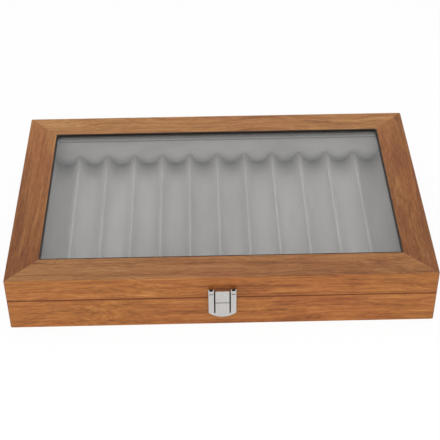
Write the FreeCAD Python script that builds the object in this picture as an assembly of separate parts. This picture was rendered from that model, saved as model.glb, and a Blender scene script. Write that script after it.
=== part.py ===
import FreeCAD, Part
import math
import os

# A display case for pens: a wooden box with a glazed lid hinged at the back,
# a fluted velvet tray inside and a chromed snap latch in front.
# Millimetres. Origin under the middle of the case, on the surface it stands on;
# +X to the right along the case, +Y to the back, +Z up. The latch is in front, at -Y.

# The whole case
case_length = 341.0
case_depth = 221.0
base_height = 28.4
lid_height = 21.1
rim_gap = 0.5            # seam between the closed lid and the base
corner_radius = 1.5      # upright outer corners
edge_radius = 0.8        # outer edge round the lid's top
arris_radius = 0.5       # softened edges along the seam and round the window
cut_overrun = 1.0        # how far a cut runs on past the surface it opens

# Wooden walls of the base, its bottom and the felt under it
wall_thickness = 11.0
panel_thickness = 4.0
panel_rebate = 5.5       # how far the bottom panel reaches under each wall
panel_clearance = 0.2
felt_thickness = 1.0      # level with the undersides of the walls
felt_margin = 1.0

# Lid frame, glass and the beads that hold it
rail_width = 26.3        # top face of the frame, from the outside to the window
rail_thickness = 9.5     # top part of the frame, where it reaches in over the case
lip_thickness = 1.9      # wood over the glass
glass_rebate = 5.5       # how far the glass goes in behind the window's edge
glass_thickness = 2.0
glass_clearance = 0.4
bead_width = 3.2
window_radius = 2.0

# Velvet-covered lining boards; those of the base stand up inside the lid
liner_thickness = 2.4
liner_upstand = 2.4
upstand_clearance = 0.6

# Fluted tray
slot_count = 12
slot_depth = 8.4
tray_floor = 4.0         # thickness under the lowest line of a slot
ridge_width = 2.4
ridge_crown = 0.5
tray_border = 4.4        # level border beyond the first and the last slot
tray_clearance = 0.3     # to the lining at the left and right
tray_end_gap = 1.2       # to the lining at the open ends of the slots

# Butt hinges in the back rims
hinge_spread = 190.0     # between the middles of the two hinges
hinge_length = 25.0
hinge_leaf_width = 8.5
hinge_leaf_thickness = 0.9
knuckle_radius = 1.9
knuckle_count = 5
knuckle_gap = 0.3        # between neighbouring knuckles, and from a knuckle to the wood
hinge_pin_radius = 0.8
hinge_pin_overhang = 0.5
running_clearance = 0.05
mortise_clearance = 0.1
screw_radius = 1.0
screw_head_radius = 1.9
screw_length = 9.0
screw_spread = 13.0

# Snap latch: a flap hung on the lid, and a catch on the base
latch_width = 22.0
latch_sheet = 0.7
latch_stand_off = 4.5    # front of the flap, from the wood
latch_pin_stand_off = 2.65
latch_pin_above_seam = 8.85
latch_pin_radius = 0.7
horn_radius = 2.4        # rounded tops of the flap's arms, about the pin
horn_front_arc = (-25.0, 42.0)   # degrees up from the front, where the horn's tube is closed
horn_top_arc = (88.0, 130.0)
flap_face_below_pin = 2.0
flap_side_below_seam = 12.55
flap_tip_below_seam = 16.95
flap_wall_clearance = 0.5
slit_width = 1.1
slit_end_below_seam = 12.85
tongue_width = 11.1      # middle strip, between the two slits
tongue_gap_below_seam = 1.55
tongue_gap = 0.6
latch_plate_thickness = 0.8
latch_plate_clearance = 0.3
latch_plate_shoulder = 4.45   # above the seam, where the plate narrows between the arms
tab_above_pin = 1.5      # top of the plate's folded tab, above the latch's axis
eye_radius = 1.5         # rolled eyes round the latch pins
catch_width = 14.0
catch_height = 14.8
catch_below_rim = 0.6
catch_nose_width = 10.0
catch_nose_height = 3.9
nail_radius = 0.6
nail_head_radius = 1.1
nail_head_height = 0.4
nail_length = 6.0
nail_spread = 6.0

# Places that follow from the sizes above
half_length = case_length / 2
half_depth = case_depth / 2
lid_bottom = base_height + rim_gap
case_height = lid_bottom + lid_height
seam_height = base_height + rim_gap / 2
panel_top = felt_thickness + panel_thickness
skirt_thickness = wall_thickness - upstand_clearance
frame_underside = case_height - rail_thickness
glass_top = case_height - lip_thickness
glass_bottom = glass_top - glass_thickness
liner_top = base_height + liner_upstand
room_length = case_length - 2 * (wall_thickness + liner_thickness)
room_depth = case_depth - 2 * (wall_thickness + liner_thickness)
tray_length = room_length - 2 * tray_clearance
tray_depth = room_depth - 2 * tray_end_gap
slot_pitch = (tray_length - 2 * tray_border) / slot_count
ridge_height = panel_top + tray_floor + slot_depth
hinge_axis_y = half_depth + knuckle_radius + knuckle_gap
latch_pin_height = seam_height + latch_pin_above_seam
eye_inside = tongue_width / 2 + slit_width + latch_sheet + latch_plate_clearance
eye_outside = latch_width / 2 - latch_sheet - latch_plate_clearance
flap_rim_back = latch_stand_off - 3 * latch_sheet + flap_wall_clearance   # off the wood
same_place = 1e-6        # coordinates closer than this count as equal

os.makedirs("parts", exist_ok=True)


def block(x_range, y_range, z_range):
    """A box between pairs of coordinates."""
    sizes = [high - low for low, high in (x_range, y_range, z_range)]
    corner = FreeCAD.Vector(x_range[0], y_range[0], z_range[0])
    return Part.makeBox(sizes[0], sizes[1], sizes[2], corner)


def centred_block(length, depth, bottom, top):
    """A box about the middle of the case."""
    return block((-length / 2, length / 2), (-depth / 2, depth / 2), (bottom, top))


def rounded_edges(solid, radius, chosen):
    """Round the edges whose middle point passes the test."""
    edges = [edge for edge in solid.Edges if chosen(edge)]
    return solid.makeFillet(radius, edges)


def is_upright(edge):
    """True for an edge that runs along Z."""
    start, end = edge.Vertexes[0].Point, edge.Vertexes[-1].Point
    return abs(start.z - end.z) > same_place


def lies_at(height):
    """A test for edges that lie flat at one height."""
    return lambda edge: edge.BoundBox.ZLength < same_place and abs(edge.BoundBox.ZMin - height) < same_place


def cylinder_x(radius, x_range, y, z):
    """A round bar along X."""
    centre = FreeCAD.Vector(x_range[0], y, z)
    return Part.makeCylinder(radius, x_range[1] - x_range[0], centre, FreeCAD.Vector(1, 0, 0))


def joined(solids):
    """One solid from pieces that touch or overlap."""
    whole = solids[0].fuse(solids[1:]) if len(solids) > 1 else solids[0]
    return whole.removeSplitter()


def save(name, *solids):
    """Write one node, as one solid or as a group of separate ones."""
    bodies = [solid for shape in solids for solid in shape.Solids]
    shape = bodies[0] if len(bodies) == 1 else Part.makeCompound(bodies)
    shape.exportStep("parts/" + name + ".step")


def mitred_sides(ring, bottom, top):
    """Cut a frame into its four sides along the 45 degree lines from its corners."""
    reach = case_depth / 2
    corners = {
        "front": [(-1, -1, 0), (1, -1, 0), (1, -1, reach), (-1, -1, reach)],
        "back": [(1, 1, 0), (-1, 1, 0), (-1, 1, reach), (1, 1, reach)],
        "left": [(-1, 1, 0), (-1, -1, 0), (-1, -1, reach)],
        "right": [(1, -1, 0), (1, 1, 0), (1, 1, reach)],
    }
    sides = {}
    for name, points in corners.items():
        outline = [FreeCAD.Vector(sx * (half_length - inset), sy * (half_depth - inset), bottom)
                   for sx, sy, inset in points]
        face = Part.Face(Part.makePolygon(outline + outline[:1]))
        wedge = face.extrude(FreeCAD.Vector(0, 0, top - bottom))
        sides[name] = ring.common(wedge).Solids[0]
    return sides


def straight_sides(ring, bottom, top, thickness, outer_length, outer_depth):
    """Cut a frame into a full-length front and back, with the ends between them."""
    y_join = outer_depth / 2 - thickness
    x_reach = outer_length
    spans = {
        "front": ((-x_reach, x_reach), (-outer_depth, -y_join)),
        "back": ((-x_reach, x_reach), (y_join, outer_depth)),
        "left": ((-x_reach, 0), (-y_join, y_join)),
        "right": ((0, x_reach), (-y_join, y_join)),
    }
    return {name: ring.common(block(x_span, y_span, (bottom, top))).Solids[0]
            for name, (x_span, y_span) in spans.items()}


# Hinges
def hinge_middles():
    """The two sides and where along X the middle of each hinge lies."""
    return [("left", -hinge_spread / 2), ("right", hinge_spread / 2)]


def hinge_screw_spots(x):
    """Where the two screws of a leaf stand, as X and Y."""
    y = half_depth - hinge_leaf_width / 2
    return [(x - screw_spread / 2, y), (x + screw_spread / 2, y)]


def hinge_screw(x, y, surface, direction):
    """A countersunk screw, with its head flush with the surface of the leaf."""
    axis = FreeCAD.Vector(0, 0, direction)
    head = Part.makeCone(screw_head_radius, screw_radius, hinge_leaf_thickness,
                         FreeCAD.Vector(x, y, surface), axis)
    shank_start = FreeCAD.Vector(x, y, surface + direction * hinge_leaf_thickness)
    shank = Part.makeCylinder(screw_radius, screw_length - 2 * screw_radius, shank_start, axis)
    tip_start = shank_start + axis * (screw_length - 2 * screw_radius)
    tip = Part.makeCone(screw_radius, screw_radius / 4, 2 * screw_radius, tip_start, axis)
    return joined([head, shank, tip])


def hinge_leaf(x, low, own_knuckles, bore_radius):
    """One leaf: a flat plate whose knuckles alternate with those of the other leaf."""
    left = x - hinge_length / 2
    step = hinge_length / knuckle_count
    plate = block((left, left + hinge_length), (half_depth - hinge_leaf_width, hinge_axis_y),
                  (low, low + hinge_leaf_thickness))
    for index in range(knuckle_count):
        start, end = left + index * step, left + (index + 1) * step
        if index in own_knuckles:
            span = (max(start + knuckle_gap / 2, left), min(end - knuckle_gap / 2, left + hinge_length))
            plate = plate.fuse(cylinder_x(knuckle_radius, span, hinge_axis_y, seam_height))
        else:
            span = (start - knuckle_gap / 2, end + knuckle_gap / 2)
            plate = plate.cut(cylinder_x(knuckle_radius + knuckle_gap, span, hinge_axis_y, seam_height))
    bore_range = (left - cut_overrun, left + hinge_length + cut_overrun)
    bore = cylinder_x(bore_radius, bore_range, hinge_axis_y, seam_height)
    return plate.cut(bore).removeSplitter()


def build_hinges():
    """Both hinges, and what they take out of the two back rims."""
    pieces = {"base_screws": [], "lid_screws": [], "base_cuts": [], "lid_cuts": []}
    ends = list(range(0, knuckle_count, 2))
    middles = list(range(1, knuckle_count, 2))
    for side, x in hinge_middles():
        base_leaf = hinge_leaf(x, base_height - hinge_leaf_thickness, ends, hinge_pin_radius)
        lid_leaf = hinge_leaf(x, lid_bottom, middles, hinge_pin_radius + running_clearance)
        for spot_x, spot_y in hinge_screw_spots(x):
            down = hinge_screw(spot_x, spot_y, base_height, -1)
            up = hinge_screw(spot_x, spot_y, lid_bottom, 1)
            base_leaf = base_leaf.cut(down)
            lid_leaf = lid_leaf.cut(up)
            pieces["base_screws"].append(down)
            pieces["lid_screws"].append(up)
        half = hinge_length / 2 + mortise_clearance
        y_range = (half_depth - hinge_leaf_width - mortise_clearance, half_depth + cut_overrun)
        pieces["base_cuts"].append(block((x - half, x + half), y_range,
                                         (base_height - hinge_leaf_thickness, base_height + cut_overrun)))
        pieces["lid_cuts"].append(block((x - half, x + half), y_range,
                                        (lid_bottom - cut_overrun, lid_bottom + hinge_leaf_thickness)))
        pin_half = hinge_length / 2 + hinge_pin_overhang
        pin = cylinder_x(hinge_pin_radius, (x - pin_half, x + pin_half), hinge_axis_y, seam_height)
        save("hinge_base_leaf_" + side, base_leaf)
        save("hinge_lid_leaf_" + side, lid_leaf)
        save("hinge_pin_" + side, pin)
    save("hinge_base_screws", *pieces["base_screws"])
    save("hinge_lid_screws", *pieces["lid_screws"])
    base_cuts = pieces["base_cuts"] + pieces["base_screws"]
    lid_cuts = pieces["lid_cuts"] + pieces["lid_screws"]
    return base_cuts, lid_cuts


# Latch
def front_block(x_range, off_range, z_range):
    """A box in front of the case, placed by its distance off the wood."""
    near, far = off_range
    return block(x_range, (-half_depth - far, -half_depth - near), z_range)


def both_sides(solid):
    """A piece and its mirror image across the middle of the case."""
    return [solid, solid.mirror(FreeCAD.Vector(0, 0, 0), FreeCAD.Vector(1, 0, 0))]


def latch_bar(radius, x_range):
    """A round bar on the axis of the latch."""
    return cylinder_x(radius, x_range, -half_depth - latch_pin_stand_off, latch_pin_height)


def shield(inset, off_range):
    """The flap's outline as a slab: straight sides and a bowed lower end."""
    half = latch_width / 2 - inset
    top = latch_pin_height - flap_face_below_pin
    side = seam_height - flap_side_below_seam + inset / 2
    tip = seam_height - flap_tip_below_seam + inset
    near, far = off_range
    y = -half_depth - near
    left_low, left_top = FreeCAD.Vector(-half, y, side), FreeCAD.Vector(-half, y, top)
    right_low, right_top = FreeCAD.Vector(half, y, side), FreeCAD.Vector(half, y, top)
    edges = [
        Part.LineSegment(left_low, left_top).toShape(),
        Part.LineSegment(left_top, right_top).toShape(),
        Part.LineSegment(right_top, right_low).toShape(),
        Part.Arc(right_low, FreeCAD.Vector(0, y, tip), left_low).toShape(),
    ]
    return Part.Face(Part.Wire(edges)).extrude(FreeCAD.Vector(0, near - far, 0))


def horn_strip(x_range, arc):
    """Part of a horn's tube over the pin, between two angles measured up from the front."""
    tube = latch_bar(horn_radius, x_range)
    tube = tube.cut(latch_bar(horn_radius - latch_sheet + running_clearance, x_range))
    y = -half_depth - latch_pin_stand_off
    reach = 2 * horn_radius
    corners = [FreeCAD.Vector(x_range[0], y, latch_pin_height)]
    for angle in arc:
        turn = math.radians(angle)
        corners.append(FreeCAD.Vector(x_range[0], y - reach * math.cos(turn),
                                      latch_pin_height + reach * math.sin(turn)))
    sector = Part.Face(Part.makePolygon(corners + corners[:1]))
    return tube.common(sector.extrude(FreeCAD.Vector(x_range[1] - x_range[0], 0, 0)))


def build_flap():
    """The flap: two channelled arms, a bowed lower end and a spring tongue between the slits."""
    outer = latch_width / 2
    inner = tongue_width / 2 + slit_width
    face_back = latch_stand_off - latch_sheet
    side_low = seam_height - flap_side_below_seam
    slit_low = seam_height - slit_end_below_seam
    tongue_top = seam_height - tongue_gap_below_seam - tongue_gap
    far_up = latch_pin_height + horn_radius
    face = shield(0, (face_back, latch_stand_off))
    through = (0, latch_stand_off + cut_overrun)
    middle = front_block((-inner, inner), through, (tongue_top, far_up))
    slit = front_block((tongue_width / 2, inner), through, (slit_low, far_up))
    for cut in [middle] + both_sides(slit):
        face = face.cut(cut)
    rim = shield(0, (flap_rim_back, face_back)).cut(shield(latch_sheet, (flap_rim_back, face_back)))
    rim = rim.common(front_block((-outer, outer), (0, latch_stand_off), (0, side_low)))
    hook = front_block((-tongue_width / 2, tongue_width / 2), (flap_rim_back, face_back),
                       (tongue_top - latch_sheet, tongue_top))
    wall = front_block((outer - latch_sheet, outer), (flap_wall_clearance, latch_stand_off),
                       (side_low, latch_pin_height))
    wall = wall.fuse(latch_bar(horn_radius, (outer - latch_sheet, outer)))
    flange_back = latch_plate_thickness + latch_plate_clearance
    flange = front_block((inner, inner + latch_sheet), (flange_back, latch_stand_off),
                         (side_low, latch_pin_height))
    flange = flange.fuse(latch_bar(horn_radius, (inner, inner + latch_sheet)))
    strips = [horn_strip((inner, outer), arc) for arc in (horn_front_arc, horn_top_arc)]
    foot = front_block((inner, outer), (face_back, latch_stand_off), (side_low, side_low + latch_sheet))
    arms = both_sides(joined([wall, flange, foot] + strips))
    flap = joined([face, rim, hook] + arms)
    bore = latch_bar(latch_pin_radius + running_clearance, (-outer - cut_overrun, outer + cut_overrun))
    return flap.cut(bore)


def nail(x, z, surface):
    """A small nail through a plate, with a low head in front of it."""
    into = FreeCAD.Vector(0, 1, 0)
    front = FreeCAD.Vector(x, -half_depth - surface - nail_head_height, z)
    head = Part.makeCylinder(nail_head_radius, nail_head_height, front, into)
    head = head.makeChamfer(nail_head_height / 2, [head.Edges[2]])
    shank = Part.makeCylinder(nail_radius, nail_length, FreeCAD.Vector(x, -half_depth - surface, z), into)
    return joined([head, shank])


def build_latch_plate():
    """The plate on the lid: two rolled eyes for the pins, and a middle tab folded down in front."""
    low = lid_bottom
    shoulder = seam_height + latch_plate_shoulder
    tab_top = latch_pin_height + tab_above_pin
    tab_low = seam_height - tongue_gap_below_seam
    tab_half = tongue_width / 2
    plate = front_block((-eye_outside, eye_outside), (0, latch_plate_thickness), (low, shoulder))
    neck = front_block((-tab_half, tab_half), (0, latch_plate_thickness), (low, tab_top))
    fold = front_block((-tab_half, tab_half), (0, latch_stand_off), (tab_top - latch_sheet, tab_top))
    tab = front_block((-tab_half, tab_half), (latch_stand_off - latch_sheet, latch_stand_off),
                      (tab_low, tab_top))
    arm_back = latch_pin_stand_off - latch_sheet / 2
    foot = front_block((eye_inside, eye_outside), (0, arm_back + latch_sheet),
                       (shoulder - latch_sheet, shoulder))
    stem = front_block((eye_inside, eye_outside), (arm_back, arm_back + latch_sheet),
                       (shoulder - latch_sheet, latch_pin_height))
    eye = joined([foot, stem, latch_bar(eye_radius, (eye_inside, eye_outside))])
    eye = eye.cut(latch_bar(latch_pin_radius, (eye_inside, eye_outside)))
    return joined([plate, neck, fold, tab] + both_sides(eye))


def build_catch():
    """The catch on the base: a plate with a wedge-shaped nose just behind the tongue's hook."""
    half = catch_nose_width / 2
    top = base_height - catch_below_rim
    plate = front_block((-catch_width / 2, catch_width / 2), (0, latch_plate_thickness),
                        (top - catch_height, top))
    nose_off = flap_rim_back - latch_plate_clearance
    nose_top = seam_height - tongue_gap_below_seam - tongue_gap
    profile = [
        (latch_plate_thickness / 2, nose_top - catch_nose_height),
        (nose_off, nose_top - 2 * latch_sheet),
        (nose_off, nose_top - latch_sheet / 2),
        (latch_plate_thickness / 2, nose_top),
    ]
    points = [FreeCAD.Vector(-half, -half_depth - off, z) for off, z in profile]
    nose = Part.Face(Part.makePolygon(points + points[:1])).extrude(FreeCAD.Vector(catch_nose_width, 0, 0))
    return joined([plate, nose])


def build_latch():
    """All pieces of the latch. Returns the nails, for their holes in the wood."""
    outer = latch_width / 2
    inner = tongue_width / 2 + slit_width
    plate_nail_height = (lid_bottom + seam_height + latch_plate_shoulder) / 2
    catch_nail_height = base_height - catch_height + 2 * nail_head_radius
    plate_nails = both_sides(nail(nail_spread / 2, plate_nail_height, latch_plate_thickness))
    catch_nails = both_sides(nail(nail_spread / 2, catch_nail_height, latch_plate_thickness))
    plate, catch = build_latch_plate(), build_catch()
    for fastener in plate_nails:
        plate = plate.cut(fastener)
    for fastener in catch_nails:
        catch = catch.cut(fastener)
    save("latch_flap", build_flap())
    save("latch_plate", plate)
    save("latch_catch", catch)
    save("latch_plate_nails", *plate_nails)
    save("latch_catch_nails", *catch_nails)
    save("latch_pins", *both_sides(latch_bar(latch_pin_radius, (inner, outer))))
    return plate_nails, catch_nails


# Base
def build_base(back_cuts, front_cuts):
    """Four mitred walls, with a rebate below for the bottom panel."""
    outside = centred_block(case_length, case_depth, 0, base_height)
    outside = rounded_edges(outside, corner_radius, is_upright)
    outside = rounded_edges(outside, arris_radius, lies_at(base_height))
    room = centred_block(case_length - 2 * wall_thickness, case_depth - 2 * wall_thickness,
                         -cut_overrun, base_height + cut_overrun)
    rebate_inset = 2 * (wall_thickness - panel_rebate)
    rebate = centred_block(case_length - rebate_inset, case_depth - rebate_inset, -cut_overrun, panel_top)
    sides = mitred_sides(outside.cut(room).cut(rebate), 0, base_height)
    for cut in back_cuts:
        sides["back"] = sides["back"].cut(cut)
    for cut in front_cuts:
        sides["front"] = sides["front"].cut(cut)
    for name, side in sides.items():
        save("base_" + name + "_wall", side)


def build_bottom():
    """The bottom panel in its rebate, and the felt glued under it."""
    inset = 2 * (wall_thickness - panel_rebate + panel_clearance)
    length, depth = case_length - inset, case_depth - inset
    save("bottom_panel", centred_block(length, depth, felt_thickness, panel_top))
    margin = 2 * felt_margin
    save("underside_felt", centred_block(length - margin, depth - margin, 0, felt_thickness))


def build_liners():
    """The lining boards of the base and of the lid, as two rings cut at their corners."""
    base_outer = (room_length + 2 * liner_thickness, room_depth + 2 * liner_thickness)
    lid_outer = (case_length - 2 * skirt_thickness, case_depth - 2 * skirt_thickness)
    rings = [
        ("base_liner_", base_outer, panel_top, liner_top),
        ("lid_liner_", lid_outer, liner_top + rim_gap, frame_underside),
    ]
    for prefix, (length, depth), bottom, top in rings:
        inside = centred_block(length - 2 * liner_thickness, depth - 2 * liner_thickness, bottom, top)
        ring = centred_block(length, depth, bottom, top).cut(inside)
        sides = straight_sides(ring, bottom, top, liner_thickness, length, depth)
        for name, side in sides.items():
            save(prefix + name, side)


def build_tray():
    """The tray: a border, slot after slot with narrow crowned ridges between, and a border."""
    y = -tray_depth / 2
    slot_bottom = ridge_height - slot_depth
    left = -tray_length / 2
    first = left + tray_border
    edges = []
    pen = FreeCAD.Vector(left, y, panel_top)

    def line_to(x, z):
        nonlocal pen
        end = FreeCAD.Vector(x, y, z)
        edges.append(Part.LineSegment(pen, end).toShape())
        pen = end

    def arc_to(x_mid, z_mid, x, z):
        nonlocal pen
        end = FreeCAD.Vector(x, y, z)
        edges.append(Part.Arc(pen, FreeCAD.Vector(x_mid, y, z_mid), end).toShape())
        pen = end

    line_to(left, ridge_height)
    line_to(first + ridge_width / 2, ridge_height)
    for index in range(slot_count):
        start = first + index * slot_pitch
        end = start + slot_pitch
        arc_to((start + end) / 2, slot_bottom, end - ridge_width / 2, ridge_height)
        if index < slot_count - 1:
            arc_to(end, ridge_height + ridge_crown, end + ridge_width / 2, ridge_height)
    line_to(-left, ridge_height)
    line_to(-left, panel_top)
    line_to(left, panel_top)
    profile = Part.Face(Part.Wire(edges))
    save("pen_tray", profile.extrude(FreeCAD.Vector(0, tray_depth, 0)))


# Lid
def window_size(margin):
    """Length and depth of the window, widened all round by a margin."""
    shrink = 2 * (rail_width - margin)
    return case_length - shrink, case_depth - shrink


def borders_window(edge):
    """True for the upper edges round the window."""
    length, depth = window_size(0)
    box = edge.BoundBox
    inside = max(abs(box.XMin), abs(box.XMax)) <= length / 2 + same_place and \
        max(abs(box.YMin), abs(box.YMax)) <= depth / 2 + same_place
    return inside and lies_at(case_height)(edge)


def build_lid(back_cuts, front_cuts):
    """Four mitred rails, each one profile: a skirt below and a frame reaching in over the glass."""
    outside = centred_block(case_length, case_depth, lid_bottom, case_height)
    outside = rounded_edges(outside, corner_radius, is_upright)
    outside = rounded_edges(outside, edge_radius, lies_at(case_height))
    outside = rounded_edges(outside, arris_radius, lies_at(lid_bottom))
    skirt = 2 * skirt_thickness
    room = centred_block(case_length - skirt, case_depth - skirt, lid_bottom - cut_overrun, frame_underside)
    rebate = centred_block(*window_size(glass_rebate), frame_underside - cut_overrun, glass_top)
    window = centred_block(*window_size(0), glass_top - cut_overrun, case_height)
    window = rounded_edges(window, window_radius, is_upright)
    frame = outside.cut(room).cut(rebate).cut(window)
    frame = rounded_edges(frame, arris_radius, borders_window)
    sides = mitred_sides(frame, lid_bottom, case_height)
    for cut in back_cuts:
        sides["back"] = sides["back"].cut(cut)
    for cut in front_cuts:
        sides["front"] = sides["front"].cut(cut)
    for name, side in sides.items():
        save("lid_" + name + "_rail", side)


def build_glazing():
    """The pane in its rebate, and the four beads that hold it from below."""
    pane_length, pane_depth = window_size(glass_rebate - glass_clearance)
    save("glass_pane", centred_block(pane_length, pane_depth, glass_bottom, glass_top))
    length, depth = window_size(glass_rebate)
    inside = centred_block(length - 2 * bead_width, depth - 2 * bead_width, frame_underside, glass_bottom)
    ring = centred_block(length, depth, frame_underside, glass_bottom).cut(inside)
    sides = straight_sides(ring, frame_underside, glass_bottom, bead_width, length, depth)
    for name, side in sides.items():
        save("glass_bead_" + name, side)


base_back_cuts, lid_back_cuts = build_hinges()
lid_front_cuts, base_front_cuts = build_latch()
build_base(base_back_cuts, base_front_cuts)
build_bottom()
build_liners()
build_tray()
build_lid(lid_back_cuts, lid_front_cuts)
build_glazing()
print("case", case_length, case_depth, round(case_height, 2), "slot pitch", round(slot_pitch, 2))
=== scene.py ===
import math

import bmesh
import bpy
from mathutils import Matrix, Vector


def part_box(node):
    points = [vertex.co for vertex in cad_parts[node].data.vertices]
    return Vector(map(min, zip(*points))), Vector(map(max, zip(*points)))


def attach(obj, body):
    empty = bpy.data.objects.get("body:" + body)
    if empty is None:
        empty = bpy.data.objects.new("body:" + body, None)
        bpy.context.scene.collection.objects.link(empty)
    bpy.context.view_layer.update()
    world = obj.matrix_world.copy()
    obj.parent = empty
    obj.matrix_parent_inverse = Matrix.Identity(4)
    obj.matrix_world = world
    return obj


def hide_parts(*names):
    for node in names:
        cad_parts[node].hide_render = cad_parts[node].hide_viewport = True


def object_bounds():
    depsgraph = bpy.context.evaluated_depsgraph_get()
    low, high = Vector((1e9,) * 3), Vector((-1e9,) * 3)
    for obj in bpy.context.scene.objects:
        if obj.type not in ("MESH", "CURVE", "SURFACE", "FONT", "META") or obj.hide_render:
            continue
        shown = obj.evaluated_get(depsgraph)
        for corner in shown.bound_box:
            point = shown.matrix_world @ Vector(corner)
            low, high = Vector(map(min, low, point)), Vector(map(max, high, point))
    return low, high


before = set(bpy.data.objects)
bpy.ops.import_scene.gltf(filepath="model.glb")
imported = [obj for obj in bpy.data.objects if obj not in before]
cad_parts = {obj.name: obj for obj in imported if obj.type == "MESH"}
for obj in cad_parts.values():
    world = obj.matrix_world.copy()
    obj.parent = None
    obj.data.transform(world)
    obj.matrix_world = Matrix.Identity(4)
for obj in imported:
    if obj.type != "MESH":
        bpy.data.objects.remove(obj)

cad_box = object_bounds()
MM = 0.001


# Wooden walls of the base.
# Four mitred boards, glued at the corners and veneered with an open-grained red-brown wood.
# The case was glued up whole and sawn open, so the grain runs on from the base into the lid.

def new_finish(name):
    """An empty node material and its output."""
    finish = bpy.data.materials.new(name)
    finish.use_nodes = True
    nodes = finish.node_tree.nodes
    nodes.clear()
    return finish, nodes, finish.node_tree.links, nodes.new("ShaderNodeOutputMaterial")


def maths(nodes, links, operation, first, second, clamp=False):
    """One arithmetic step between sockets or plain numbers."""
    node = nodes.new("ShaderNodeMath")
    node.operation = operation
    node.use_clamp = clamp
    for socket, value in zip(node.inputs, (first, second)):
        if isinstance(value, (int, float)):
            socket.default_value = value
        else:
            links.new(value, socket)
    return node.outputs[0]


def ramp(nodes, links, source, stops):
    """A colour ramp from (position, colour) pairs."""
    node = nodes.new("ShaderNodeValToRGB")
    while len(node.color_ramp.elements) < len(stops):
        node.color_ramp.elements.new(0.5)
    for element, (place, colour) in zip(node.color_ramp.elements, stops):
        element.position = place
        element.color = (*colour, 1.0)
    links.new(source, node.inputs["Fac"])
    return node.outputs["Color"]


def mixed(nodes, links, factor, first, second, blend="MIX"):
    """Two colours mixed by a factor."""
    node = nodes.new("ShaderNodeMix")
    node.data_type = "RGBA"
    node.blend_type = blend
    for socket, value in ((node.inputs[0], factor), (node.inputs[6], first), (node.inputs[7], second)):
        if isinstance(value, (int, float)):
            socket.default_value = value
        elif isinstance(value, tuple):
            socket.default_value = (*value, 1.0)
        else:
            links.new(value, socket)
    return node.outputs[2]


def drawn_out(nodes, links, vector, along, across, detail=3.0, roughness=0.55, kind="noise"):
    """Noise that is stretched along the grain: cycles per metre along it and across it."""
    scaled = nodes.new("ShaderNodeMapping")
    scaled.inputs["Scale"].default_value = (along, across, across)
    links.new(vector, scaled.inputs["Vector"])
    noise = nodes.new("ShaderNodeTexNoise")
    noise.inputs["Scale"].default_value = 1.0
    noise.inputs["Detail"].default_value = detail
    noise.inputs["Roughness"].default_value = roughness
    links.new(scaled.outputs[0], noise.inputs["Vector"])
    return noise.outputs["Fac"]


WOOD_DARK = (0.195, 0.062, 0.014)
WOOD_MIDDLE = (0.372, 0.134, 0.029)
WOOD_LIGHT = (0.545, 0.240, 0.062)
WOOD_PORE = (0.120, 0.036, 0.010)
WOOD_RED = (0.90, 0.74, 0.84)
SEAM_SHADE_RED = (0.270, 0.082, 0.026)
EDGE_STAIN = (0.016, 0.010, 0.007)
ARRIS_SHADE_TINT = (0.62, 0.50, 0.46)
STAIN_MARGIN = 1.2 * MM
RAIL_OVERHANG = 2.3 * MM
window_half_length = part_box("glass_bead_right")[0].x - RAIL_OVERHANG
window_half_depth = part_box("glass_bead_back")[0].y - RAIL_OVERHANG
SEAM = (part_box("base_front_wall")[1].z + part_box("lid_front_rail")[0].z) / 2


def outside_of(nodes, links, value, limit):
    """1 where a coordinate lies further from the middle than a limit."""
    size = maths(nodes, links, "ABSOLUTE", value, 0.0)
    return maths(nodes, links, "GREATER_THAN", size, limit)


def stretch(nodes, links, value, low, gain):
    """A value's rise above a level, multiplied and kept between 0 and 1."""
    return maths(nodes, links, "MULTIPLY", maths(nodes, links, "SUBTRACT", value, low), gain, clamp=True)


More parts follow.
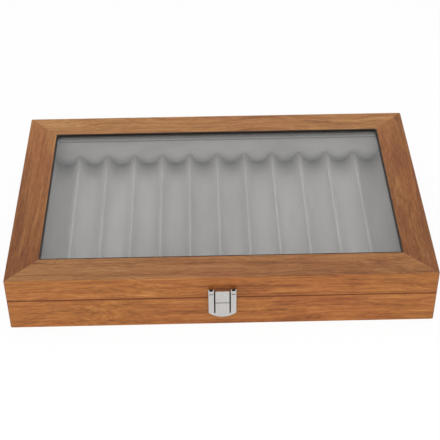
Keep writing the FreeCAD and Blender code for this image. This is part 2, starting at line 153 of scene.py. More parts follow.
def veneer(name, turned, shift, top_shade_tints, redness, ring_depth, slant=0.0):
    """Open-grained veneer, its grain along X, or along Y where it is turned.

    Top shade tints are painted shade and painted reflection: they darken and grey the sheet on top of the frame,
    from its left or back end to its other end.
    """
    finish, nodes, links, output = new_finish(name)
    coordinates = nodes.new("ShaderNodeTexCoord")
    place = coordinates.outputs["Object"]
    board = nodes.new("ShaderNodeMapping")
    board.inputs["Rotation"].default_value = (0.0, 0.0, math.radians(90.0) if turned else 0.0)
    links.new(place, board.inputs["Vector"])
    offset = nodes.new("ShaderNodeVectorMath")
    offset.operation = "ADD"
    offset.inputs[1].default_value = shift
    links.new(board.outputs[0], offset.inputs[0])
    straight = offset.outputs[0]

    # The grain wanders sideways by some millimetres over a hand's length, and a little at once
    wander = maths(nodes, links, "MULTIPLY", drawn_out(nodes, links, straight, 7.0, 22.0, detail=1.0), 0.026)
    ripple = maths(nodes, links, "MULTIPLY", drawn_out(nodes, links, straight, 30.0, 90.0, detail=1.0), 0.0034)
    aside = maths(nodes, links, "ADD", wander, ripple)
    sideways = nodes.new("ShaderNodeCombineXYZ")
    for socket in ("Y", "Z"):
        links.new(aside, sideways.inputs[socket])
    bent = nodes.new("ShaderNodeVectorMath")
    bent.operation = "ADD"
    links.new(straight, bent.inputs[0])
    links.new(sideways.outputs[0], bent.inputs[1])
    grain = bent.outputs[0]

    zones = drawn_out(nodes, links, grain, 5.0, 55.0, detail=2.0)
    bands = drawn_out(nodes, links, grain, 7.0, 210.0, detail=3.0)
    streaks = drawn_out(nodes, links, grain, 13.0, 600.0, detail=2.0, roughness=0.50)
    flecks = drawn_out(nodes, links, grain, 120.0, 820.0, detail=2.0, roughness=0.60)
    fibres = drawn_out(nodes, links, grain, 90.0, 1900.0, detail=3.0, roughness=0.65)

    # Growth rings round a heart that lies below the board and runs a little askew to it
    heart = nodes.new("ShaderNodeMapping")
    heart.inputs["Location"].default_value = (0.0, 0.030, 0.043)
    heart.inputs["Rotation"].default_value = (0.0, math.radians(1.6), math.radians(2.4))
    heart.inputs["Scale"].default_value = (0.10, 1.0, 1.0)
    unmoved = nodes.new("ShaderNodeVectorMath")
    unmoved.operation = "SUBTRACT"
    unmoved.inputs[1].default_value = shift
    links.new(grain, unmoved.inputs[0])
    links.new(unmoved.outputs[0], heart.inputs["Vector"])
    rings = nodes.new("ShaderNodeTexWave")
    rings.wave_type = "RINGS"
    rings.rings_direction = "X"
    rings.wave_profile = "SAW"
    rings.inputs["Scale"].default_value = 48.0
    rings.inputs["Distortion"].default_value = 4.0
    rings.inputs["Detail"].default_value = 3.0
    rings.inputs["Detail Scale"].default_value = 0.9
    links.new(heart.outputs[0], rings.inputs["Vector"])
    late_wood = maths(nodes, links, "POWER", rings.outputs["Fac"], 3.0)

    tone = maths(nodes, links, "MULTIPLY", late_wood, -ring_depth)
    for layer, weight in ((zones, 0.42), (bands, 0.46), (streaks, 0.70), (flecks, 0.38), (fibres, 0.40)):
        tone = maths(nodes, links, "ADD", tone, maths(nodes, links, "MULTIPLY", layer, weight))
    tone = maths(nodes, links, "SUBTRACT", tone, 0.625, clamp=True)
    wood = ramp(nodes, links, tone, [(0.22, WOOD_DARK), (0.52, WOOD_MIDDLE), (0.84, WOOD_LIGHT)])

    # Some stretches are redder than others
    blush = stretch(nodes, links, drawn_out(nodes, links, straight, 12.0, 45.0, detail=1.0), 0.42,
                    redness * 4.0)
    wood = mixed(nodes, links, blush, wood, mixed(nodes, links, 1.0, wood, WOOD_RED, "MULTIPLY"))

    # Pores: short dark dashes along the grain
    pores = drawn_out(nodes, links, grain, 130.0, 1500.0, detail=1.0, roughness=0.4)
    crowd = drawn_out(nodes, links, grain, 8.0, 120.0, detail=2.0)
    dashes = maths(nodes, links, "MULTIPLY", stretch(nodes, links, pores, 0.54, 7.0),
                   stretch(nodes, links, crowd, 0.36, 4.0))
    wood = mixed(nodes, links, maths(nodes, links, "MULTIPLY", dashes, 0.5), wood, WOOD_PORE)

    # Painted shade and painted reflection: the sheet on top of the frame is tinted darker and greyer than those on
    # the sides
    spot = nodes.new("ShaderNodeSeparateXYZ")
    links.new(place, spot.inputs[0])
    facing = nodes.new("ShaderNodeSeparateXYZ")
    links.new(coordinates.outputs["Normal"], facing.inputs[0])
    upward = stretch(nodes, links, facing.outputs["Z"], 0.4, 2.0)
    if turned:
        reach = maths(nodes, links, "MULTIPLY", spot.outputs["Y"], -0.5 / cad_box[1][1])
    else:
        reach = maths(nodes, links, "MULTIPLY", spot.outputs["X"], 0.5 / cad_box[1][0])
    cloudy = maths(nodes, links, "MULTIPLY", maths(nodes, links, "SUBTRACT", zones, 0.5), 1.6)
    across = maths(nodes, links, "MULTIPLY", maths(nodes, links, "SUBTRACT", maths(
        nodes, links, "ABSOLUTE", spot.outputs["X"], 0.0), window_half_length), slant)
    reach = maths(nodes, links, "ADD", reach, maths(nodes, links, "ADD", cloudy, across))
    top_shade_tint = mixed(nodes, links, stretch(nodes, links, reach, -0.35, 1.0 / 0.7), *top_shade_tints)
    wood = mixed(nodes, links, upward, wood, mixed(nodes, links, 1.0, wood, top_shade_tint, "MULTIPLY"))

    # Painted shade along the saw cut between base and lid: a dark reddish band, stronger in some stretches
    from_cut = maths(nodes, links, "ABSOLUTE", maths(nodes, links, "SUBTRACT", spot.outputs["Z"], SEAM), 0.0)
    near_cut = maths(nodes, links, "MULTIPLY", from_cut, -1.0)
    for reach, patches, first, gain, strength, colour in (
            (2.6, 5.0, 0.44, 5.0, 0.60, SEAM_SHADE_RED), (1.15, 9.0, 0.30, 2.6, 0.85, WOOD_DARK)):
        seam_shade = stretch(nodes, links, near_cut, -reach * MM, 1.5 / (reach * MM))
        patchy = drawn_out(nodes, links, straight, patches, patches, detail=1.0)
        seam_shade = maths(nodes, links, "MULTIPLY", seam_shade, stretch(nodes, links, patchy, first, gain))
        wood = mixed(nodes, links, maths(nodes, links, "MULTIPLY", seam_shade, strength), wood, colour)

    # Painted shade on the rounded arrises: they are darkened, some more than others
    flattest = 0.0
    for socket in ("X", "Y", "Z"):
        flattest = maths(nodes, links, "MAXIMUM", maths(
            nodes, links, "ABSOLUTE", facing.outputs[socket], 0.0), flattest)
    rounded = stretch(nodes, links, maths(nodes, links, "SUBTRACT", 1.0, flattest), 0.03, 9.0)
    wear_and_shade = maths(nodes, links, "MULTIPLY", rounded, stretch(nodes, links, bands, 0.20, 1.6))
    wood = mixed(nodes, links, wear_and_shade, wood, mixed(nodes, links, 1.0, wood, ARRIS_SHADE_TINT, "MULTIPLY"))

    # The window's edge is stained nearly black, down to the glass
    beyond = maths(nodes, links, "MAXIMUM",
                   outside_of(nodes, links, spot.outputs["X"], window_half_length + STAIN_MARGIN),
                   outside_of(nodes, links, spot.outputs["Y"], window_half_depth + STAIN_MARGIN))
    wood = mixed(nodes, links, beyond, EDGE_STAIN, wood)

    surface = nodes.new("ShaderNodeBsdfPrincipled")
    links.new(wood, surface.inputs["Base Color"])
    roughness = maths(nodes, links, "ADD", maths(nodes, links, "MULTIPLY", streaks, 0.16), 0.42)
    links.new(roughness, surface.inputs["Roughness"])
    surface.inputs["Specular IOR Level"].default_value = 0.28
    height = maths(nodes, links, "SUBTRACT", maths(nodes, links, "MULTIPLY", fibres, 0.5), dashes)
    bump = nodes.new("ShaderNodeBump")
    bump.inputs["Strength"].default_value = 0.35
    bump.inputs["Distance"].default_value = 0.00012
    links.new(height, bump.inputs["Height"])
    links.new(bump.outputs[0], surface.inputs["Normal"])
    links.new(surface.outputs[0], output.inputs["Surface"])
    return finish


def finish_node(node, finish):
    """Gives a carried-over piece its finish."""
    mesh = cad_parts[node].data
    mesh.materials.clear()
    mesh.materials.append(finish)


# Each sheet's pair of top tints is painted shade and painted reflection on its top, from one end to the other.
sheets = {
    "front": veneer("veneer_front", False, (0.31, 0.12, 0.024),
                    ((0.70, 0.88, 1.44), (0.63, 0.71, 1.10)), 0.5, 0.14),
    "back": veneer("veneer_back", False, (1.27, 0.55, 0.31),
                   ((0.87, 1.10, 1.74), (0.90, 1.14, 1.80)), 0.4, 0.14),
    "left": veneer("veneer_left", True, (0.83, 1.31, 0.17),
                   ((0.86, 1.00, 1.46), (0.44, 0.42, 0.58)), 0.7, 0.14, 6.0),
    "right": veneer("veneer_right", True, (2.15, 0.77, 0.64),
                    ((0.64, 0.68, 0.92), (0.48, 0.49, 0.66)), 0.6, 0.12),
}
for side, sheet in sheets.items():
    finish_node("base_" + side + "_wall", sheet)


# Bottom board and felt.
# The bottom is a thin fibreboard with grey paper on it, let into a rebate, and a sheet of dark
# grey pressed felt is glued under it, so that the case doesn't scratch a table.

def speckled(name, colour, spread, cycles, roughness, sheen=0.0, bump_height=0.0001, upper=None):
    """A plain fibrous surface: a colour with fine specks and a soft, larger mottle.

    Upper is the colour of what is glued on its upper side.
    """
    finish, nodes, links, output = new_finish(name)
    coordinates = nodes.new("ShaderNodeTexCoord")
    place = coordinates.outputs["Object"]
    specks = drawn_out(nodes, links, place, cycles, cycles, detail=4.0, roughness=0.7)
    mottle = drawn_out(nodes, links, place, 35.0, 35.0, detail=2.0)
    tone = maths(nodes, links, "ADD", maths(nodes, links, "MULTIPLY", specks, 0.7),
                 maths(nodes, links, "MULTIPLY", mottle, 0.3))
    dark = tuple(value * (1.0 - spread) for value in colour)
    light = tuple(min(value * (1.0 + spread), 1.0) for value in colour)
    fibres = ramp(nodes, links, tone, [(0.30, dark), (0.70, light)])
    if upper:
        facing = nodes.new("ShaderNodeSeparateXYZ")
        links.new(coordinates.outputs["Normal"], facing.inputs[0])
        fibres = mixed(nodes, links, stretch(nodes, links, facing.outputs["Z"], 0.4, 2.0), fibres, upper)
    surface = nodes.new("ShaderNodeBsdfPrincipled")
    links.new(fibres, surface.inputs["Base Color"])
    surface.inputs["Roughness"].default_value = roughness
    surface.inputs["Specular IOR Level"].default_value = 0.25
    surface.inputs["Sheen Weight"].default_value = sheen
    surface.inputs["Sheen Roughness"].default_value = 0.5
    bump = nodes.new("ShaderNodeBump")
    bump.inputs["Strength"].default_value = 0.6
    bump.inputs["Distance"].default_value = bump_height
    links.new(specks, bump.inputs["Height"])
    links.new(bump.outputs[0], surface.inputs["Normal"])
    links.new(surface.outputs[0], output.inputs["Surface"])
    return finish


def only(piece):
    """Makes a piece the one selected and active object."""
    bpy.ops.object.select_all(action="DESELECT")
    piece.select_set(True)
    bpy.context.view_layer.objects.active = piece


def slab(name, low, high):
    """A block between two corners, with its place in its mesh."""
    bpy.ops.object.select_all(action="DESELECT")
    bpy.ops.mesh.primitive_cube_add(size=1.0, location=(Vector(low) + Vector(high)) / 2)
    piece = bpy.context.object
    piece.name = name
    piece.data.name = name
    piece.scale = Vector(high) - Vector(low)
    bpy.ops.object.transform_apply(location=True, rotation=True, scale=True)
    return piece


def applied(piece, kind, **settings):
    """Adds a modifier with these settings and applies it."""
    only(piece)
    modifier = piece.modifiers.new(kind.lower(), kind)
    for key, value in settings.items():
        setattr(modifier, key, value)
    bpy.ops.object.modifier_apply(modifier=modifier.name)
    return piece


def softened(piece, radius, segments=3):
    """Rounds every sharp edge and shades the rounding smoothly."""
    applied(piece, "BEVEL", width=radius, segments=segments, limit_method="ANGLE",
            angle_limit=math.radians(40.0), harden_normals=False)
    only(piece)
    bpy.ops.object.shade_smooth_by_angle(angle=math.radians(35.0))
    return applied(piece, "WEIGHTED_NORMAL", keep_sharp=True, weight=100)


def fitted(piece, body, finish, slot, *nodes):
    """Dresses a new piece, hangs it on its body and lets it stand for its solids."""
    piece.data.materials.clear()
    piece.data.materials.append(finish)
    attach(piece, body)
    if nodes:
        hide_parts(*nodes)
    return piece


board_finish = speckled("papered_fibreboard", (0.20, 0.115, 0.06), 0.35, 900.0, 0.80, upper=(0.12, 0.115, 0.11))
finish_node("bottom_panel", board_finish)
felt_low, felt_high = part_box("underside_felt")
felt = softened(slab("felt_sheet", felt_low, felt_high), 0.35 * MM, 2)
felt_finish = speckled("dark_grey_felt", (0.075, 0.075, 0.08), 0.5, 1400.0, 0.95, 0.3, 0.0002)
fitted(felt, "base", felt_finish, "grey_felt", "underside_felt")


# Lining boards.
# Card covered with short grey velvet, glued round the inside of the base and of the lid.
# Those of the base stand a little above the rim and keep the closed lid in its place.

CORNER_SHADE_REACH = 9.0 * MM
CROWN_REACH = 2.4 * MM


def velvet(name, colour, nap, ends=None):
    """Short-pile velvet: fine specks, faint brush marks, sheen, and painted shade where two pieces meet.

    Ends, a start and an end off the middle along Y with a top and a bottom height, are where
    painted shade darkens the slots towards their ends, most of all low down, and darkens their
    lower parts a little all along. The ridges' crowns are a little darker too.
    """
    finish, nodes, links, output = new_finish(name)
    place = nodes.new("ShaderNodeTexCoord").outputs["Object"]
    pile = drawn_out(nodes, links, place, 1500.0, 1500.0, detail=3.0, roughness=0.7)
    brushed = nodes.new("ShaderNodeMapping")
    brushed.inputs["Scale"].default_value = nap
    links.new(place, brushed.inputs["Vector"])
    marks = drawn_out(nodes, links, brushed.outputs[0], 1.0, 1.0, detail=4.0, roughness=0.6)
    tone = maths(nodes, links, "ADD", maths(nodes, links, "MULTIPLY", pile, 0.45),
                 maths(nodes, links, "MULTIPLY", marks, 0.55))
    dark = tuple(value * 0.80 for value in colour)
    light = tuple(value * 1.18 for value in colour)
    cloth = ramp(nodes, links, tone, [(0.34, dark), (0.66, light)])
    if not ends:
        # Painted shade where pieces meet: ambient occlusion darkens the cloth where it is closed in
        corner = nodes.new("ShaderNodeAmbientOcclusion")
        corner.samples = 8
        corner.inputs["Distance"].default_value = CORNER_SHADE_REACH
        closed_in = maths(nodes, links, "SUBTRACT", 1.0, corner.outputs["AO"])
        shade = maths(nodes, links, "MULTIPLY", stretch(nodes, links, closed_in, 0.20, 2.0), 0.42)
    else:
        start, end, top, bottom = ends
        # Painted shade towards the slots' ends and low down in the slots
        spot = nodes.new("ShaderNodeSeparateXYZ")
        links.new(place, spot.inputs[0])
        run = stretch(nodes, links, maths(nodes, links, "ABSOLUTE", spot.outputs["Y"], 0.0), start,
                      1.0 / (end - start))
        run = maths(nodes, links, "POWER", run, 2.4)
        depth = maths(nodes, links, "MULTIPLY", maths(nodes, links, "SUBTRACT", top, spot.outputs["Z"]),
                      1.0 / (top - bottom), clamp=True)
        deeper_end_shade = maths(nodes, links, "ADD", maths(nodes, links, "MULTIPLY", depth, 0.50), 0.30)
        shade = maths(nodes, links, "MULTIPLY", run, deeper_end_shade)
        shade = maths(nodes, links, "ADD", shade, maths(nodes, links, "MULTIPLY", depth, 0.17))
        crown = stretch(nodes, links, spot.outputs["Z"], top - CROWN_REACH, 1.0 / CROWN_REACH)
        wear_and_shade = tuple(value * 0.80 for value in colour)
        cloth = mixed(nodes, links, maths(nodes, links, "MULTIPLY", crown, 0.30), cloth, wear_and_shade)
    # The painted shade mixes the cloth towards near-black
    cloth = mixed(nodes, links, shade, cloth, (0.03, 0.03, 0.03))
    surface = nodes.new("ShaderNodeBsdfPrincipled")
    links.new(cloth, surface.inputs["Base Color"])
    surface.inputs["Roughness"].default_value = 0.92
    surface.inputs["Specular IOR Level"].default_value = 0.15
    surface.inputs["Sheen Weight"].default_value = 0.5
    surface.inputs["Sheen Roughness"].default_value = 0.45
    surface.inputs["Sheen Tint"].default_value = (0.85, 0.84, 0.83, 1.0)
    bump = nodes.new("ShaderNodeBump")
    bump.inputs["Strength"].default_value = 0.5
    bump.inputs["Distance"].default_value = 0.00015
    links.new(pile, bump.inputs["Height"])
    links.new(bump.outputs[0], surface.inputs["Normal"])
    links.new(surface.outputs[0], output.inputs["Surface"])
    return finish


VELVET_GREY = (0.356, 0.336, 0.326)
# Painted light: the boards' velvet is made lighter than the tray's, standing in for the front light on the upright
# lining.
LIT_BOARD_GREY = (0.480, 0.452, 0.438)
board_velvet = velvet("grey_velvet_boards", LIT_BOARD_GREY, (22.0, 22.0, 60.0))
for part, body in (("base", "base"), ("lid", "lid")):
    for side in ("front", "back", "left", "right"):
        node = part + "_liner_" + side
        low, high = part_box(node)
        board = softened(slab(node + "_cloth", low, high), 0.6 * MM, 3)
        fitted(board, body, board_velvet, "grey_velvet", node)


# Tray.
# One moulded foam tray with velvet flocked over it: twelve round-bottomed slots side by side,
# with a narrow rounded ridge between neighbours and a level border at the left and the right.
# The slots' open ends roll over towards the lining.

SLOT_COUNT = 12
RIDGE_WIDTH = 2.4 * MM
BORDER = 4.4 * MM
CROWN = 0.5 * MM
SLOT_DEPTH = 8.4 * MM
END_ROLL = 4.5 * MM
ROWS_ACROSS = 96
COLUMNS_PER_SLOT = 40
COLUMNS_OF_BORDER = 8
tray_low, tray_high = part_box("pen_tray")
ridge_top = tray_high.z - CROWN
pitch = (tray_high.x - tray_low.x - 2 * BORDER) / SLOT_COUNT
half_chord = (pitch - RIDGE_WIDTH) / 2
slot_radius = (half_chord ** 2 + SLOT_DEPTH ** 2) / (2 * SLOT_DEPTH)


def tray_height(x):
    """Height of the cloth over a slot or a ridge, with the two blended into each other."""
    crown = ridge_top + CROWN * 0.9
    past_border = x - tray_low.x - BORDER
    if past_border < 0.0 or past_border > SLOT_COUNT * pitch:
        return crown
    from_middle = abs(past_border % pitch - pitch / 2)
    slot = ridge_top - SLOT_DEPTH + slot_radius - math.sqrt(max(slot_radius ** 2 - from_middle ** 2, 0.0))
    at_ridge = max(0.0, min(1.0, (from_middle - half_chord + 0.9 * MM) / (pitch / 2 - half_chord + 0.9 * MM)))
    blend = at_ridge * at_ridge * (3.0 - 2.0 * at_ridge)
    return slot + (crown - slot) * blend if from_middle < half_chord else min(crown, slot + (crown - slot) * blend)


def column_place(column):
    """Where along X a column of the tray's mesh lies, close together over the borders."""
    in_slots = column - COLUMNS_OF_BORDER
    if in_slots < 0:
        return tray_low.x + BORDER * column / COLUMNS_OF_BORDER
    beyond = in_slots - SLOT_COUNT * COLUMNS_PER_SLOT
    if beyond > 0:
        return tray_high.x - BORDER * (1.0 - beyond / COLUMNS_OF_BORDER)
    return tray_low.x + BORDER + pitch * in_slots / COLUMNS_PER_SLOT


columns = SLOT_COUNT * COLUMNS_PER_SLOT + 2 * COLUMNS_OF_BORDER
bpy.ops.object.select_all(action="DESELECT")
bpy.ops.mesh.primitive_grid_add(x_subdivisions=columns, y_subdivisions=ROWS_ACROSS, size=2.0)
tray = bpy.context.object
tray.name = "velvet_tray"
bpy.ops.object.mode_set(mode="EDIT")
bpy.ops.mesh.select_all(action="SELECT")
bpy.ops.mesh.region_to_loop()
bpy.ops.mesh.extrude_edges_move(TRANSFORM_OT_translate={"value": (0.0, 0.0, -1.0)})
bpy.ops.mesh.edge_face_add()
bpy.ops.object.mode_set(mode="OBJECT")
half_tray = (tray_high.y - tray_low.y) / 2
for corner in tray.data.vertices:
    across, along, level = corner.co
    x = column_place(round((across + 1.0) / 2 * columns))
    share = abs(along)
    turn = max(0.0, (share - 0.75) / 0.25) * math.pi / 2
    straight_run = (half_tray - END_ROLL) * min(share, 0.75) / 0.75
    y = math.copysign(straight_run + END_ROLL * math.sin(turn), along)
    top = tray_height(x) - END_ROLL * (1.0 - math.cos(turn))
    corner.co = (x, y + (tray_low.y + tray_high.y) / 2, tray_low.z if level < -0.5 else top)
only(tray)
bpy.ops.object.shade_smooth_by_angle(angle=math.radians(50.0))
# The ends given here are where painted shade darkens the slots.
tray_velvet = velvet("grey_velvet_tray", VELVET_GREY, (30.0, 7.0, 30.0),
                     (tray_high.y - 42.0 * MM, tray_high.y - 2.0 * MM, ridge_top, ridge_top - SLOT_DEPTH))
fitted(tray, "base", tray_velvet, "grey_velvet", "pen_tray")


# Hinges.
# Two small butt hinges of nickel-plated steel, let into the back rims. Three knuckles belong
# to the base and two to the lid, on one pin; two countersunk cross-head screws hold each leaf.

def plated(name, colour, roughness, brush=(900.0, 900.0, 900.0), scratches=0.12, contrast=0.10):
    """Bright or satin plating, with faint rubbing marks in its colour and its gloss."""
    finish, nodes, links, output = new_finish(name)
    place = nodes.new("ShaderNodeTexCoord").outputs["Object"]
    scaled = nodes.new("ShaderNodeMapping")
    scaled.inputs["Scale"].default_value = brush
    links.new(place, scaled.inputs["Vector"])
    wear_and_shade = drawn_out(nodes, links, scaled.outputs[0], 1.0, 1.0, detail=4.0, roughness=0.65)
    surface = nodes.new("ShaderNodeBsdfPrincipled")
    shade = tuple(value * (1.0 - contrast) for value in colour)
    links.new(ramp(nodes, links, wear_and_shade, [(0.34, shade), (0.62, colour)]), surface.inputs["Base Color"])
    surface.inputs["Metallic"].default_value = 1.0
    gloss = maths(nodes, links, "ADD", maths(nodes, links, "MULTIPLY", wear_and_shade, scratches), roughness)
    links.new(gloss, surface.inputs["Roughness"])
    links.new(surface.outputs[0], output.inputs["Surface"])
    return finish


def evenly_shaded(piece):
    """Smooth roundings between faces that stay flat."""
    only(piece)
    if piece.data.has_custom_normals:
        bpy.ops.mesh.customdata_custom_splitnormals_clear()
    bpy.ops.object.shade_smooth_by_angle(angle=math.radians(32.0))
    return applied(piece, "WEIGHTED_NORMAL", keep_sharp=True, weight=100)


def from_solid(name, node, radius, segments=2, sharp=30.0):
    """A copy of a node with its triangles joined into faces, and its sharp edges rounded."""
    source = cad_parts[node]
    piece = bpy.data.objects.new(name, source.data.copy())
    bpy.context.scene.collection.objects.link(piece)
    only(piece)
    bpy.ops.object.mode_set(mode="EDIT")
    bpy.ops.mesh.select_all(action="SELECT")
    bpy.ops.mesh.remove_doubles(threshold=0.002 * MM)
    bpy.ops.mesh.dissolve_limited(angle_limit=math.radians(1.0))
    bpy.ops.object.mode_set(mode="OBJECT")
    applied(piece, "BEVEL", width=radius, segments=segments, limit_method="ANGLE",
            angle_limit=math.radians(sharp), use_clamp_overlap=True, harden_normals=False)
    return evenly_shaded(piece)


nickel = plated("nickel_plate", (0.60, 0.585, 0.56), 0.20, scratches=0.07, contrast=0.05)
for side in ("left", "right"):
    for part, body in (("base", "base"), ("lid", "lid")):
        node = "hinge_" + part + "_leaf_" + side
        fitted(from_solid(node + "_rolled", node, 0.10 * MM), body, nickel, "plated_steel", node)
    pin = from_solid("hinge_pin_riveted_" + side, "hinge_pin_" + side, 0.25 * MM)
    fitted(pin, "base", nickel, "plated_steel", "hinge_pin_" + side)

SCREW_SPREAD = 13.0 * MM
RECESS_ARM = 1.25 * MM
RECESS_HALF_WIDTH = 0.28 * MM
RECESS_DEPTH = 0.75 * MM


def recess_cutter(spots, surface, inward):
    """Tapered crosses, one over each screw head, to cut the driver's recess with."""
    mesh = bpy.data.meshes.new("recess_cutter")
    shape = bmesh.new()
    for x, y in spots:
        for turned in (False, True):
            rings = []
            for arm, depth in ((RECESS_ARM, -0.2 * MM), (0.35 * RECESS_ARM, RECESS_DEPTH)):
                width = RECESS_HALF_WIDTH
                reach = ((-arm, -width), (arm, -width), (arm, width), (-arm, width))
                if turned:
                    reach = tuple((-across, along) for along, across in reach)
                rings.append([shape.verts.new((x + a, y + b, surface + inward * depth)) for a, b in reach])
            outer, inner = rings
            shape.faces.new(outer)
            shape.faces.new(inner)
            for one in range(4):
                two = (one + 1) % 4
                shape.faces.new((outer[one], outer[two], inner[two], inner[one]))
    bmesh.ops.recalc_face_normals(shape, faces=shape.faces)
    shape.to_mesh(mesh)
    shape.free()
    cutter = bpy.data.objects.new("recess_cutter", mesh)
    bpy.context.scene.collection.objects.link(cutter)
    return cutter


for part, inward in (("base", -1.0), ("lid", 1.0)):
    node = "hinge_" + part + "_screws"
    low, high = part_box(node)
    surface = high.z if inward < 0 else low.z
    row = (low.y + high.y) / 2
    spots = []
    for side in ("left", "right"):
        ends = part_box("hinge_" + part + "_leaf_" + side)
        middle = (ends[0].x + ends[1].x) / 2
        spots += [(middle - SCREW_SPREAD / 2, row), (middle + SCREW_SPREAD / 2, row)]
    screws = from_solid(node + "_crossed", node, 0.10 * MM)
    cutter = recess_cutter(spots, surface, inward)
    applied(screws, "BOOLEAN", operation="DIFFERENCE", object=cutter, solver="EXACT", use_self=True)
    bpy.data.objects.remove(cutter)
    fitted(evenly_shaded(screws), part, nickel, "plated_steel", node)


# Lid rails.
# Each side of the lid is one moulded rail, skirt and top frame together, mitred at the corners
# and covered with the same veneer as the base.

for side, sheet in sheets.items():
    finish_node("lid_" + side + "_rail", sheet)


# Glass and beads.
# A pane of 2 mm float glass lies in a rebate under the frame's lip. Four beads covered
# with grey velvet are glued under it; their velvet is painted darker, as painted shade under the lip.

def clear_glass(name):
    """Clear glass that lets the lamps' light through to what lies below it."""
    finish, nodes, links, output = new_finish(name)
    pane = nodes.new("ShaderNodeBsdfPrincipled")
    pane.inputs["Base Color"].default_value = (0.935, 0.945, 0.94, 1.0)
    pane.inputs["Roughness"].default_value = 0.0
    pane.inputs["IOR"].default_value = 1.5
    pane.inputs["Transmission Weight"].default_value = 1.0
    through = nodes.new("ShaderNodeBsdfTransparent")
    through.inputs["Color"].default_value = (0.93, 0.94, 0.94, 1.0)
    path = nodes.new("ShaderNodeLightPath")
    soft = maths(nodes, links, "ADD", path.outputs["Is Shadow Ray"], path.outputs["Is Diffuse Ray"], clamp=True)
    blend = nodes.new("ShaderNodeMixShader")
    links.new(soft, blend.inputs[0])
    links.new(pane.outputs[0], blend.inputs[1])
    links.new(through.outputs[0], blend.inputs[2])
    links.new(blend.outputs[0], output.inputs["Surface"])
    return finish


finish_node("glass_pane", clear_glass("clear_float_glass"))
shaded_bead_velvet = velvet("grey_velvet_beads", (0.16, 0.158, 0.152), (25.0, 25.0, 60.0))
for side in ("front", "back", "left", "right"):
    bead = from_solid("glass_bead_cloth_" + side, "glass_bead_" + side, 0.5 * MM, segments=3)
    fitted(bead, "lid", shaded_bead_velvet, "grey_velvet", "glass_bead_" + side)


# Latch.
# Pressed and chromed steel: a plate nailed to the lid with a tab folded down in the middle,
# a flap that swings on two short pins, and a catch nailed to the base behind the flap. The
# parts that lie in the hollow behind the flap are painted nearly black, as painted shade.

chrome = plated("bright_chrome", (0.585, 0.565, 0.55), 0.16, brush=(1300.0, 1300.0, 90.0))
hollow_shade_finish = plated("blackened_steel", (0.034, 0.032, 0.030), 0.42)
fitted(from_solid("latch_flap_sheet", "latch_flap", 0.16 * MM), "latch_flap", chrome, "bright_chrome",
       "latch_flap")
plate = from_solid("latch_plate_sheet", "latch_plate", 0.12 * MM)
fitted(plate, "lid", chrome, "bright_chrome", "latch_plate")
plate.data.materials.append(hollow_shade_finish)
case_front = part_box("base_front_wall")[0].y
TAB_REACH = 5.6 * MM
HOLLOW = 1.6 * MM
# Painted shade: the plate's faces in the hollow behind the flap and beside the tab get the near-black steel.
for face in plate.data.polygons:
    in_hollow = face.center.y > case_front - HOLLOW or abs(face.center.x) > TAB_REACH
    face.material_index = 1 if in_hollow else 0
# The catch, its nails and the pins get the same near-black painted shade.
for node, body, radius, finish, slot in (
        ("latch_catch", "base", 0.12, hollow_shade_finish, "blackened_steel"),
        ("latch_catch_nails", "base", 0.22, hollow_shade_finish, "blackened_steel"),
        ("latch_pins", "lid", 0.12, hollow_shade_finish, "blackened_steel"),
        ("latch_plate_nails", "lid", 0.22, nickel, "plated_steel")):
    fitted(from_solid(node + "_pressed", node, radius * MM), body, finish, slot, node)


# Floor, lamps and camera.
# A plain white floor that keeps the object's shadow, soft light from large lamps overhead,
# and the camera where the photograph was taken from.

def white_floor():
    """A floor that is white to the eye and in reflections, and still takes the shadow."""
    finish, nodes, links, output = new_finish("white_floor")
    paper = nodes.new("ShaderNodeBsdfDiffuse")
    paper.inputs["Color"].default_value = (0.86, 0.86, 0.86, 1.0)
    glow = nodes.new("ShaderNodeEmission")
    glow.inputs["Color"].default_value = (1.0, 1.0, 1.0, 1.0)
    path = nodes.new("ShaderNodeLightPath")
    seen = maths(nodes, links, "ADD", path.outputs["Is Camera Ray"], path.outputs["Is Glossy Ray"], clamp=True)
    seen = maths(nodes, links, "ADD", seen, path.outputs["Is Transmission Ray"], clamp=True)
    blend = nodes.new("ShaderNodeMixShader")
    links.new(maths(nodes, links, "MULTIPLY", seen, 0.93), blend.inputs[0])
    links.new(paper.outputs[0], blend.inputs[1])
    links.new(glow.outputs[0], blend.inputs[2])
    links.new(blend.outputs[0], output.inputs["Surface"])
    return finish


bpy.ops.object.select_all(action="DESELECT")
bpy.ops.mesh.primitive_plane_add(size=8.0, location=(0.0, 0.0, -0.0002))
floor = bpy.context.object
floor.name = "floor"
floor.data.materials.append(white_floor())

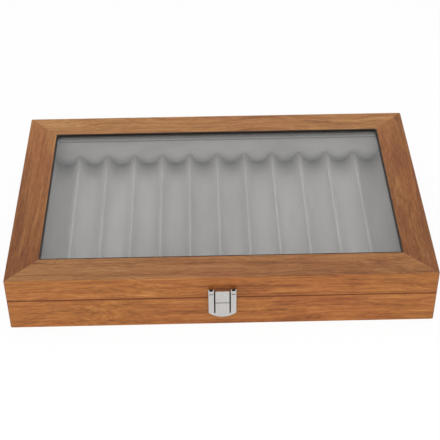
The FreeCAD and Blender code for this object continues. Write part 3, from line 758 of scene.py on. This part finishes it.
world = bpy.context.scene.world or bpy.data.worlds.new("studio")
bpy.context.scene.world = world
world.use_nodes = True
sky, sky_links = world.node_tree.nodes, world.node_tree.links
sky.clear()
sky_output = sky.new("ShaderNodeOutputWorld")
path = sky.new("ShaderNodeLightPath")
bright = maths(sky, sky_links, "ADD", path.outputs["Is Camera Ray"], path.outputs["Is Glossy Ray"], clamp=True)
bright = maths(sky, sky_links, "ADD", bright, path.outputs["Is Transmission Ray"], clamp=True)
WORLD_LIGHT = 0.06
strength = maths(sky, sky_links, "ADD", maths(sky, sky_links, "MULTIPLY", bright, 1.0 - WORLD_LIGHT), WORLD_LIGHT)
background = sky.new("ShaderNodeBackground")
background.inputs["Color"].default_value = (1.0, 1.0, 1.0, 1.0)
sky_links.new(strength, background.inputs["Strength"])
sky_links.new(background.outputs[0], sky_output.inputs["Surface"])


def lamp(name, place, aim, size, power):
    """A square soft lamp aimed at a point, which neither face of the glass mirrors."""
    light = bpy.data.lights.new(name, "AREA")
    light.size = size
    light.energy = power
    holder = bpy.data.objects.new(name, light)
    holder.location = place
    holder.rotation_mode = "QUATERNION"
    holder.rotation_quaternion = (Vector(aim) - Vector(place)).to_track_quat("-Z", "Y")
    holder.visible_glossy = False
    holder.visible_transmission = False
    bpy.context.scene.collection.objects.link(holder)


lamp("overhead", (0.0, -0.15, 1.3), (0.0, -0.15, 0.0), 2.2, 26.0)
lamp("front", (-0.1, -1.5, 1.1), (0.0, 0.0, 0.02), 1.0, 18.0)

CAMERA_PLACE = (-0.01338, -0.78037, 0.66445)
CAMERA_TURN = (50.295, 0.365, -1.335)
LENS = 95.32
camera_data = bpy.data.cameras.new("camera")
camera_data.lens = LENS
camera_data.sensor_width = 36.0
camera_data.clip_start = 0.01
camera_data.clip_end = 50.0
camera = bpy.data.objects.new("camera", camera_data)
camera.location = CAMERA_PLACE
camera.rotation_euler = [math.radians(angle) for angle in CAMERA_TURN]
bpy.context.scene.collection.objects.link(camera)
bpy.context.scene.camera = camera
bpy.context.scene.view_settings.view_transform = "Standard"
